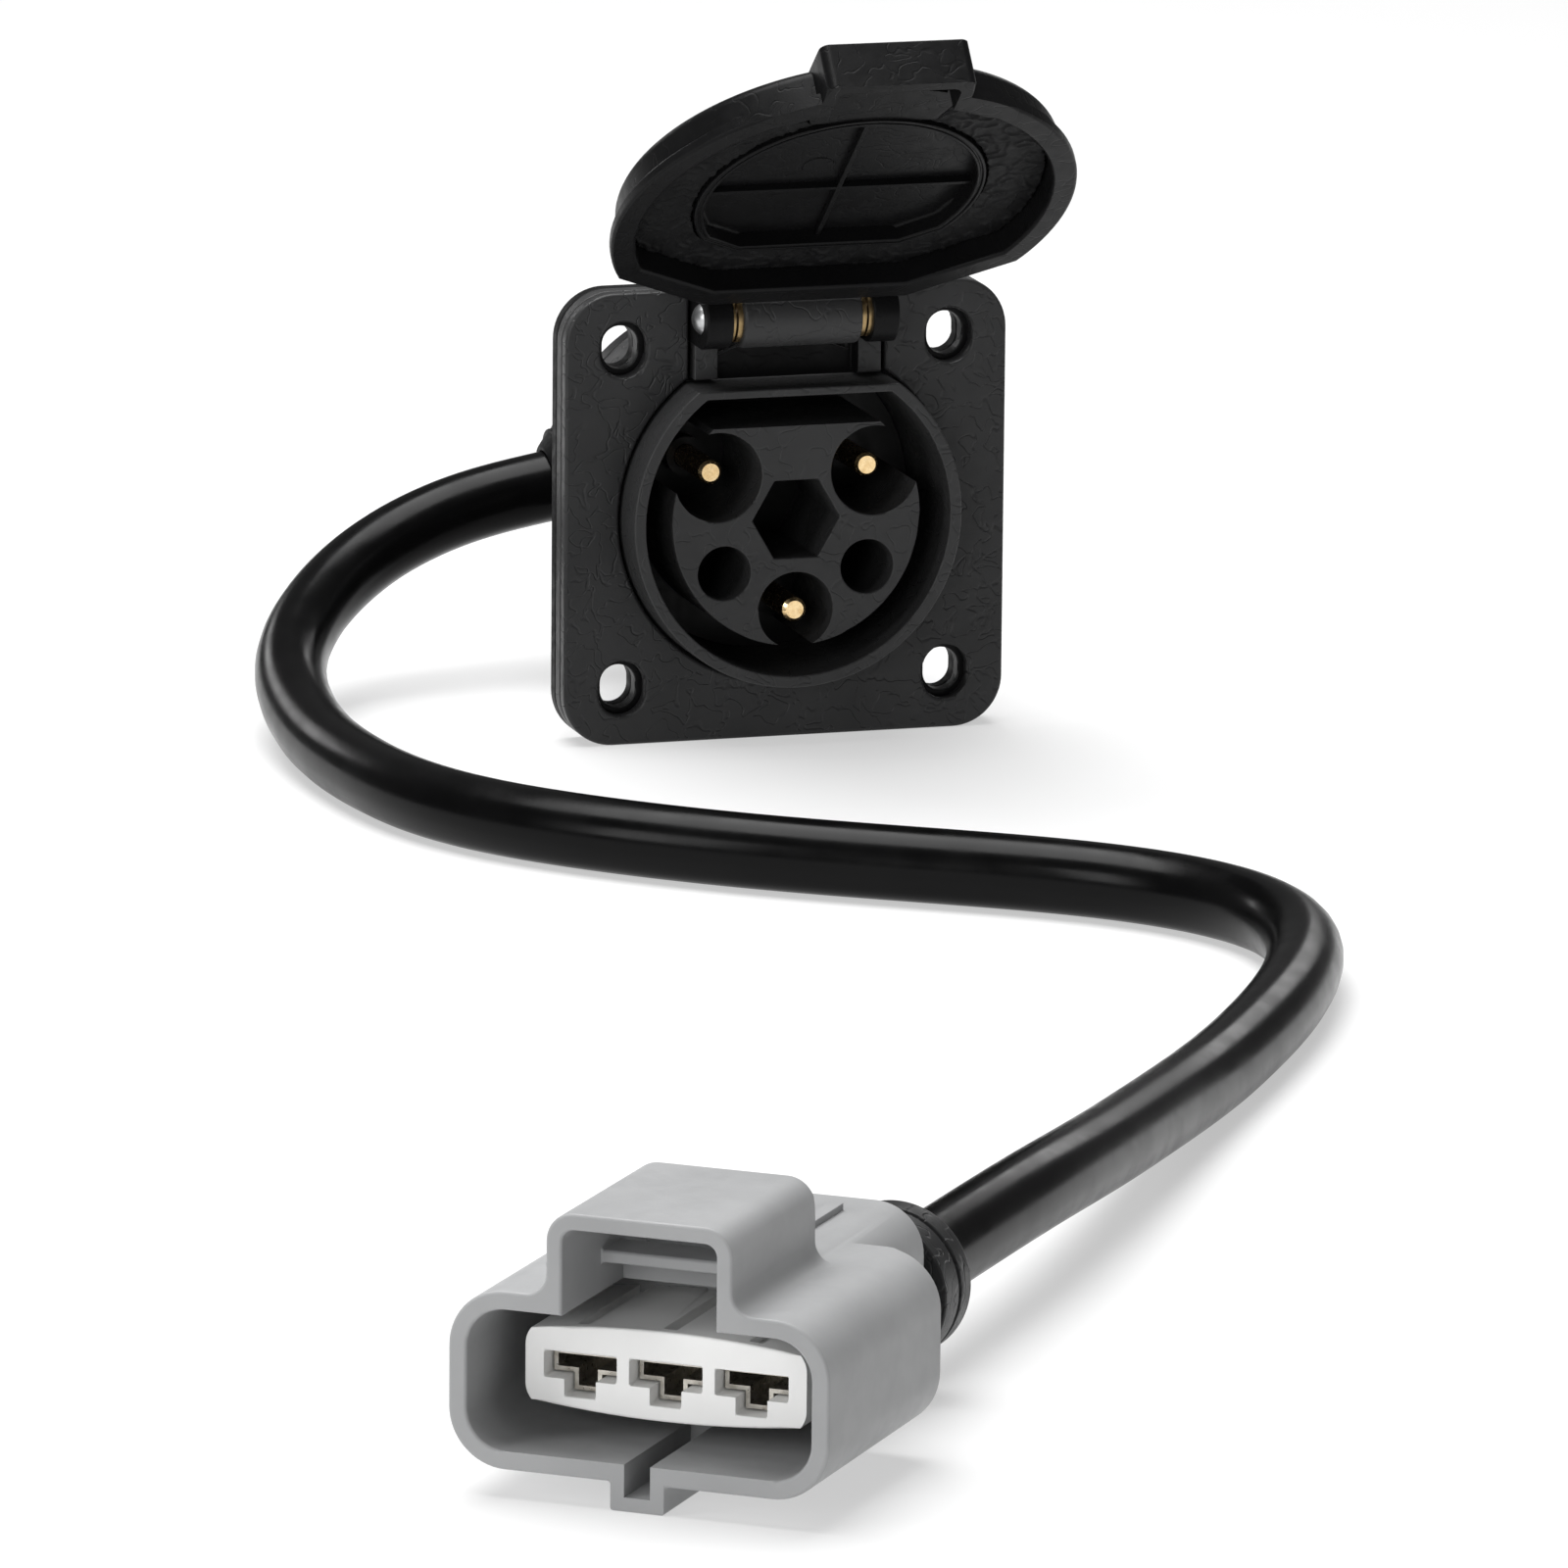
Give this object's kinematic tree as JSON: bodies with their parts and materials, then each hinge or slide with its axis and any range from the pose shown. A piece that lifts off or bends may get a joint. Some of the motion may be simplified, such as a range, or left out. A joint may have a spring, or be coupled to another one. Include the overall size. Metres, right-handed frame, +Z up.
{
  "type": "charge port inlet",
  "caption": "Panel-mount charging inlet: flanged socket with a hinged sealing lid, recessed contact pins, and a short cable to a latching blade connector.",
  "frame": {"origin": "centre of the panel face (the rear of the gasket) on the socket's axis", "axes": "-Y out of the socket towards the plug, +Y into the panel, +Z up towards the lid's hinge, +X to the viewer's right"},
  "size_m": [0.2179, 0.5436, 0.1261],
  "materials": {
    "charcoal_plastic": "satin with a fine moulded grain",
    "black_plastic": "satin, moulded",
    "seal_rubber": "matt",
    "cable_sheath": "smooth satin sheath",
    "contact_brass": "turned and polished",
    "bright_steel": "polished",
    "tinned_metal": "tin plated",
    "grey_plastic": "satin, moulded",
    "white_plastic": "matt, moulded",
    "copper_core": "bare stranded copper"
  },
  "bodies": {
    "inlet": {"front_bezel": "charcoal_plastic", "socket_body": "charcoal_plastic", "panel_gasket": "seal_rubber", "contact_block": "charcoal_plastic", "pin_carrier": "black_plastic", "power_pin_left": "contact_brass", "power_pin_right": "contact_brass", "earth_pin": "contact_brass", "hinge_pin": "bright_steel", "friction_washer_left": "contact_brass", "friction_washer_right": "contact_brass", "rear_cover": "black_plastic", "cover_screw_1": "bright_steel", "cover_screw_2": "bright_steel", "cover_screw_3": "bright_steel", "cover_screw_4": "bright_steel", "cable_bush": "seal_rubber", "core_left": "copper_core", "core_right": "copper_core", "core_earth": "copper_core", "cord": "cable_sheath", "connector_housing": "grey_plastic", "terminal_holder": "white_plastic", "terminal_left": "tinned_metal", "terminal_centre": "tinned_metal", "terminal_right": "tinned_metal", "cable_ring": "black_plastic", "lead_left": "copper_core", "lead_centre": "copper_core", "lead_right": "copper_core"},
    "lid_body": {"lid": "charcoal_plastic", "lid_seal": "seal_rubber", "hinge_bush_left": "contact_brass", "hinge_bush_right": "contact_brass"}
  },
  "joints": [
    {"name": "lid_hinge", "type": "hinge", "parent": "inlet", "child": "lid_body", "pos_m": [0, -0.0132, 0.034], "axis": [1, 0, 0], "range_deg": [0, 130]}
  ]
}
